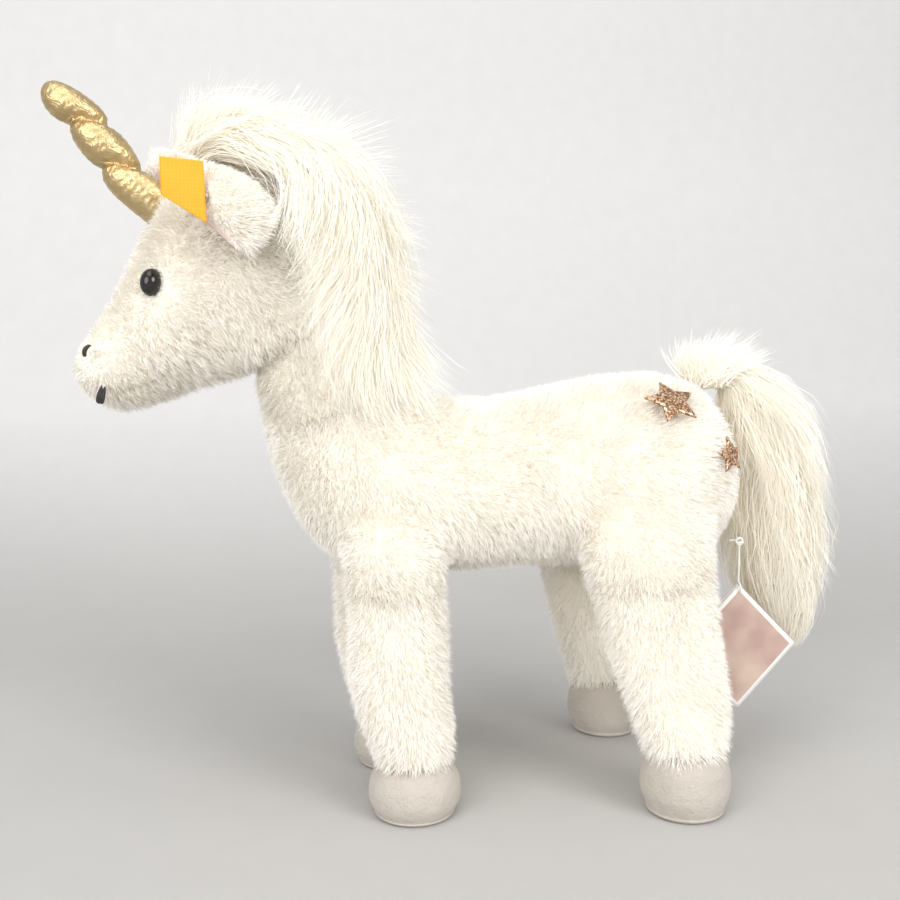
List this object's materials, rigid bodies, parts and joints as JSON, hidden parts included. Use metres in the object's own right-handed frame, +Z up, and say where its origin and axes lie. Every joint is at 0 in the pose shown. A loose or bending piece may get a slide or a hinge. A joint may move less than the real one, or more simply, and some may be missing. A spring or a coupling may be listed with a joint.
{
  "type": "plush unicorn",
  "caption": "Standing stuffed plush unicorn with a gold fabric horn, long-pile mane and tail, soft hooves, and head, legs, ears and tail that flex at their seams.",
  "frame": {"origin": "on the floor under the middle of the toy's outer box", "axes": "+Z up, the toy faces -Y, its left side is +X"},
  "size_m": [0.123, 0.316, 0.271],
  "materials": {
    "plush": "matte",
    "plush_light": "matte",
    "stuffing": "matte",
    "velboa": "matte",
    "long_pile": "matte",
    "gold_fabric": "satin",
    "gold_thread": "matte",
    "glitter_fabric": "satin",
    "eye_plastic": "gloss",
    "washer_plastic": "matte",
    "dark_yarn": "matte",
    "ear_lining": "matte",
    "button_metal": "satin",
    "label_ribbon": "satin",
    "card_board": "satin",
    "white_thread": "matte"
  },
  "bodies": {
    "torso": {"body_left": "plush", "body_right": "plush", "body_gusset": "plush_light", "body_stuffing": "stuffing", "large_star": "glitter_fabric", "small_star": "glitter_fabric", "mane_neck": "long_pile", "tag_anchor": "white_thread"},
    "head": {"head_left": "plush", "head_right": "plush", "head_gusset": "plush_light", "head_stuffing": "stuffing", "mane_head": "long_pile", "eye_left": "eye_plastic", "eye_right": "eye_plastic", "eye_washer_left": "washer_plastic", "eye_washer_right": "washer_plastic", "nostril_left": "dark_yarn", "nostril_right": "dark_yarn", "mouth_left": "dark_yarn", "mouth_right": "dark_yarn"},
    "front_left_leg": {"front_left_leg_cover": "plush", "front_left_leg_stuffing": "stuffing", "front_left_hoof_cover": "velboa", "front_left_hoof_sole": "velboa"},
    "front_right_leg": {"front_right_leg_cover": "plush", "front_right_leg_stuffing": "stuffing", "front_right_hoof_cover": "velboa", "front_right_hoof_sole": "velboa"},
    "rear_left_leg": {"rear_left_leg_cover": "plush", "rear_left_leg_stuffing": "stuffing", "rear_left_hoof_cover": "velboa", "rear_left_hoof_sole": "velboa"},
    "rear_right_leg": {"rear_right_leg_cover": "plush", "rear_right_leg_stuffing": "stuffing", "rear_right_hoof_cover": "velboa", "rear_right_hoof_sole": "velboa"},
    "horn": {"horn_cover": "gold_fabric", "horn_stuffing": "stuffing", "horn_thread": "gold_thread"},
    "ear_left": {"ear_left_outer": "plush", "ear_left_lining": "ear_lining", "ear_button": "button_metal"},
    "ear_right": {"ear_right_outer": "plush", "ear_right_lining": "ear_lining"},
    "label": {"ear_label": "label_ribbon"},
    "tail": {"tail_dock": "plush", "tail_hair": "long_pile"},
    "tag": {"tag_card": "card_board", "tag_loop": "white_thread"}
  },
  "joints": [
    {"name": "head_nod", "type": "hinge", "parent": "torso", "child": "head", "pos_m": [0, -0.0617, 0.1725], "axis": [1, 0, 0], "range_deg": [-12, 12], "stiffness_Nm_per_rad": 1.5},
    {"name": "front_left_swing", "type": "hinge", "parent": "torso", "child": "front_left_leg", "pos_m": [0.026, -0.037, 0.1], "axis": [1, 0, 0], "range_deg": [-15, 15], "stiffness_Nm_per_rad": 0.8},
    {"name": "front_right_swing", "type": "hinge", "parent": "torso", "child": "front_right_leg", "pos_m": [-0.026, -0.037, 0.1], "axis": [1, 0, 0], "range_deg": [-15, 15], "stiffness_Nm_per_rad": 0.8},
    {"name": "rear_left_swing", "type": "hinge", "parent": "torso", "child": "rear_left_leg", "pos_m": [0.031, 0.062, 0.108], "axis": [1, 0, 0], "range_deg": [-15, 15], "stiffness_Nm_per_rad": 0.8},
    {"name": "rear_right_swing", "type": "hinge", "parent": "torso", "child": "rear_right_leg", "pos_m": [-0.031, 0.062, 0.108], "axis": [1, 0, 0], "range_deg": [-15, 15], "stiffness_Nm_per_rad": 0.8},
    {"name": "ear_left_fold", "type": "hinge", "parent": "head", "child": "ear_left", "pos_m": [0.0335, -0.0852, 0.2144], "axis": [0, 0.4923, 0.8705], "range_deg": [-5, 40], "stiffness_Nm_per_rad": 0.02},
    {"name": "ear_right_fold", "type": "hinge", "parent": "head", "child": "ear_right", "pos_m": [-0.0335, -0.0852, 0.2144], "axis": [0, -0.4923, -0.8705], "range_deg": [-5, 40], "stiffness_Nm_per_rad": 0.02},
    {"name": "horn_bend", "type": "hinge", "parent": "head", "child": "horn", "pos_m": [0, -0.1215, 0.2276], "axis": [1, 0, 0], "range_deg": [-15, 15], "stiffness_Nm_per_rad": 0.05},
    {"name": "tail_lift", "type": "hinge", "parent": "torso", "child": "tail", "pos_m": [0, 0.098, 0.1635], "axis": [1, 0, 0], "range_deg": [0, 60]},
    {"name": "label_lift", "type": "hinge", "parent": "ear_left", "child": "label", "pos_m": [0.0411, -0.116, 0.2249], "axis": [0, 0.8499, -0.5269], "range_deg": [0, 60], "stiffness_Nm_per_rad": 0.0001},
    {"name": "tag_swing", "type": "hinge", "parent": "torso", "child": "tag", "pos_m": [0.015, 0.1075, 0.097], "axis": [1, 0, 0], "range_deg": [-25, 25]}
  ]
}
